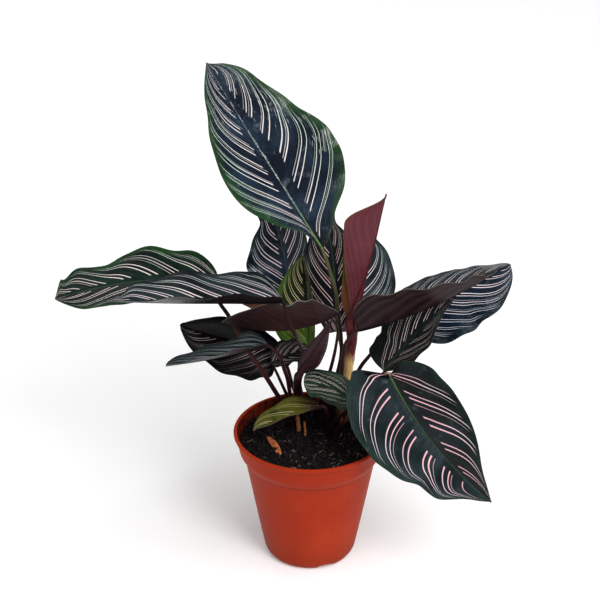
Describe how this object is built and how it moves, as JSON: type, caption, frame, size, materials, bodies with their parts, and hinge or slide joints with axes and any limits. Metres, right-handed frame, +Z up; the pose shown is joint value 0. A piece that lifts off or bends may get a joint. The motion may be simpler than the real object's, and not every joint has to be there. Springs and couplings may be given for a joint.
{
  "type": "potted pinstripe calathea",
  "caption": "Potted houseplant: broad waved dark green leaves with thin pink stripes and maroon undersides, rising on slim stalks from soil in a round tapered terracotta-coloured plastic pot.",
  "frame": {"origin": "centre of the flat underside of the pot, on the ground", "axes": "+Z up along the axis of the pot, +X to the right and +Y to the back as seen in the picture"},
  "size_m": [0.3542, 0.1861, 0.3836],
  "materials": {
    "pot_plastic": "terracotta-coloured moulded plastic, faint satin sheen",
    "soil": "crumbly dark potting soil",
    "leaf_striped": "dark blue-green upper side with thin pale pink stripes and a green margin, satin",
    "leaf_underside": "dark maroon underside and stalk, satin",
    "leaf_young": "yellow-green young leaf with faint stripes, satin",
    "dry_sheath": "dry fibrous brown"
  },
  "bodies": {
    "root": {"pot": "pot_plastic", "soil": "soil", "leaf_top": "leaf_striped", "leaf_back_left": "leaf_striped", "leaf_back_middle": "leaf_striped", "leaf_back_right": "leaf_striped", "leaf_red_upright": "leaf_underside", "leaf_left_far": "leaf_striped", "leaf_left_near": "leaf_striped", "leaf_left_middle": "leaf_underside", "leaf_left_dark": "leaf_striped", "leaf_left_small": "leaf_striped", "leaf_folded": "leaf_underside", "leaf_front_small": "leaf_striped", "leaf_front_green": "leaf_young", "leaf_front_right": "leaf_striped", "leaf_right_low": "leaf_striped", "leaf_right_middle": "leaf_underside", "leaf_right_far": "leaf_striped", "leaf_young": "leaf_young", "leaf_inner_small": "leaf_striped", "leaf_inner_brown": "leaf_underside", "dry_stub_left": "dry_sheath", "dry_stub_middle": "dry_sheath", "dry_stub_right": "dry_sheath", "dry_chip": "dry_sheath"}
  },
  "joints": []
}
